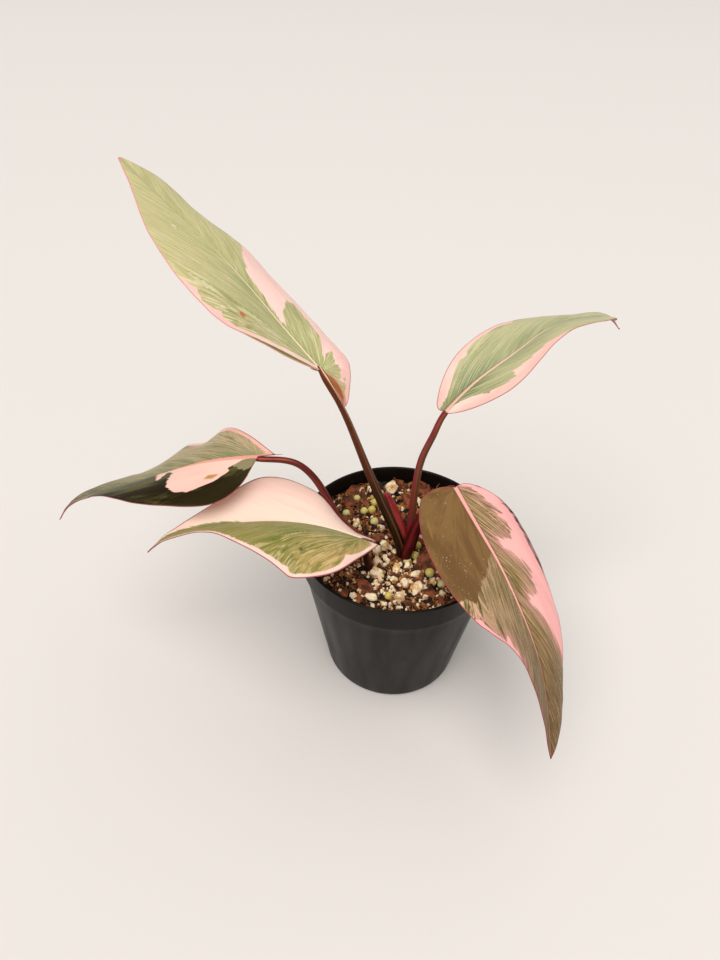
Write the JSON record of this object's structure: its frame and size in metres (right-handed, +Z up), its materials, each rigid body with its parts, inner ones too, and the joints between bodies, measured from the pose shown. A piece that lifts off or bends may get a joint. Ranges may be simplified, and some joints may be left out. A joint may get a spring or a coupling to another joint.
{
  "type": "potted pink princess philodendron",
  "caption": "Young aroid house plant with pink-variegated pointed leaves on crimson stalks, standing in potting mix in a small round plastic nursery pot.",
  "frame": {"origin": "centre of the pot's flat underside", "axes": "+Z up along the pot's axis, -Y towards the front, +X to the right seen from the front"},
  "size_m": [0.2093, 0.1362, 0.1854],
  "materials": {
    "pot_plastic": "satin",
    "potting_mix": "matte",
    "stem": "satin",
    "petiole": "satin",
    "leaf_green": "satin",
    "leaf_dark": "satin",
    "leaf_pink": "satin"
  },
  "bodies": {
    "root": {"pot": "pot_plastic", "potting_mix": "potting_mix", "crown_stem": "stem", "new_leaf_spear": "stem", "petiole_rear_left": "petiole", "petiole_rear_right": "petiole", "petiole_left": "petiole", "petiole_front_left": "petiole", "petiole_front_right": "petiole", "leaf_rear_left": "leaf_green", "leaf_rear_right": "leaf_green", "leaf_left": "leaf_dark", "leaf_front_left": "leaf_pink", "leaf_front_right": "leaf_dark"}
  },
  "joints": []
}
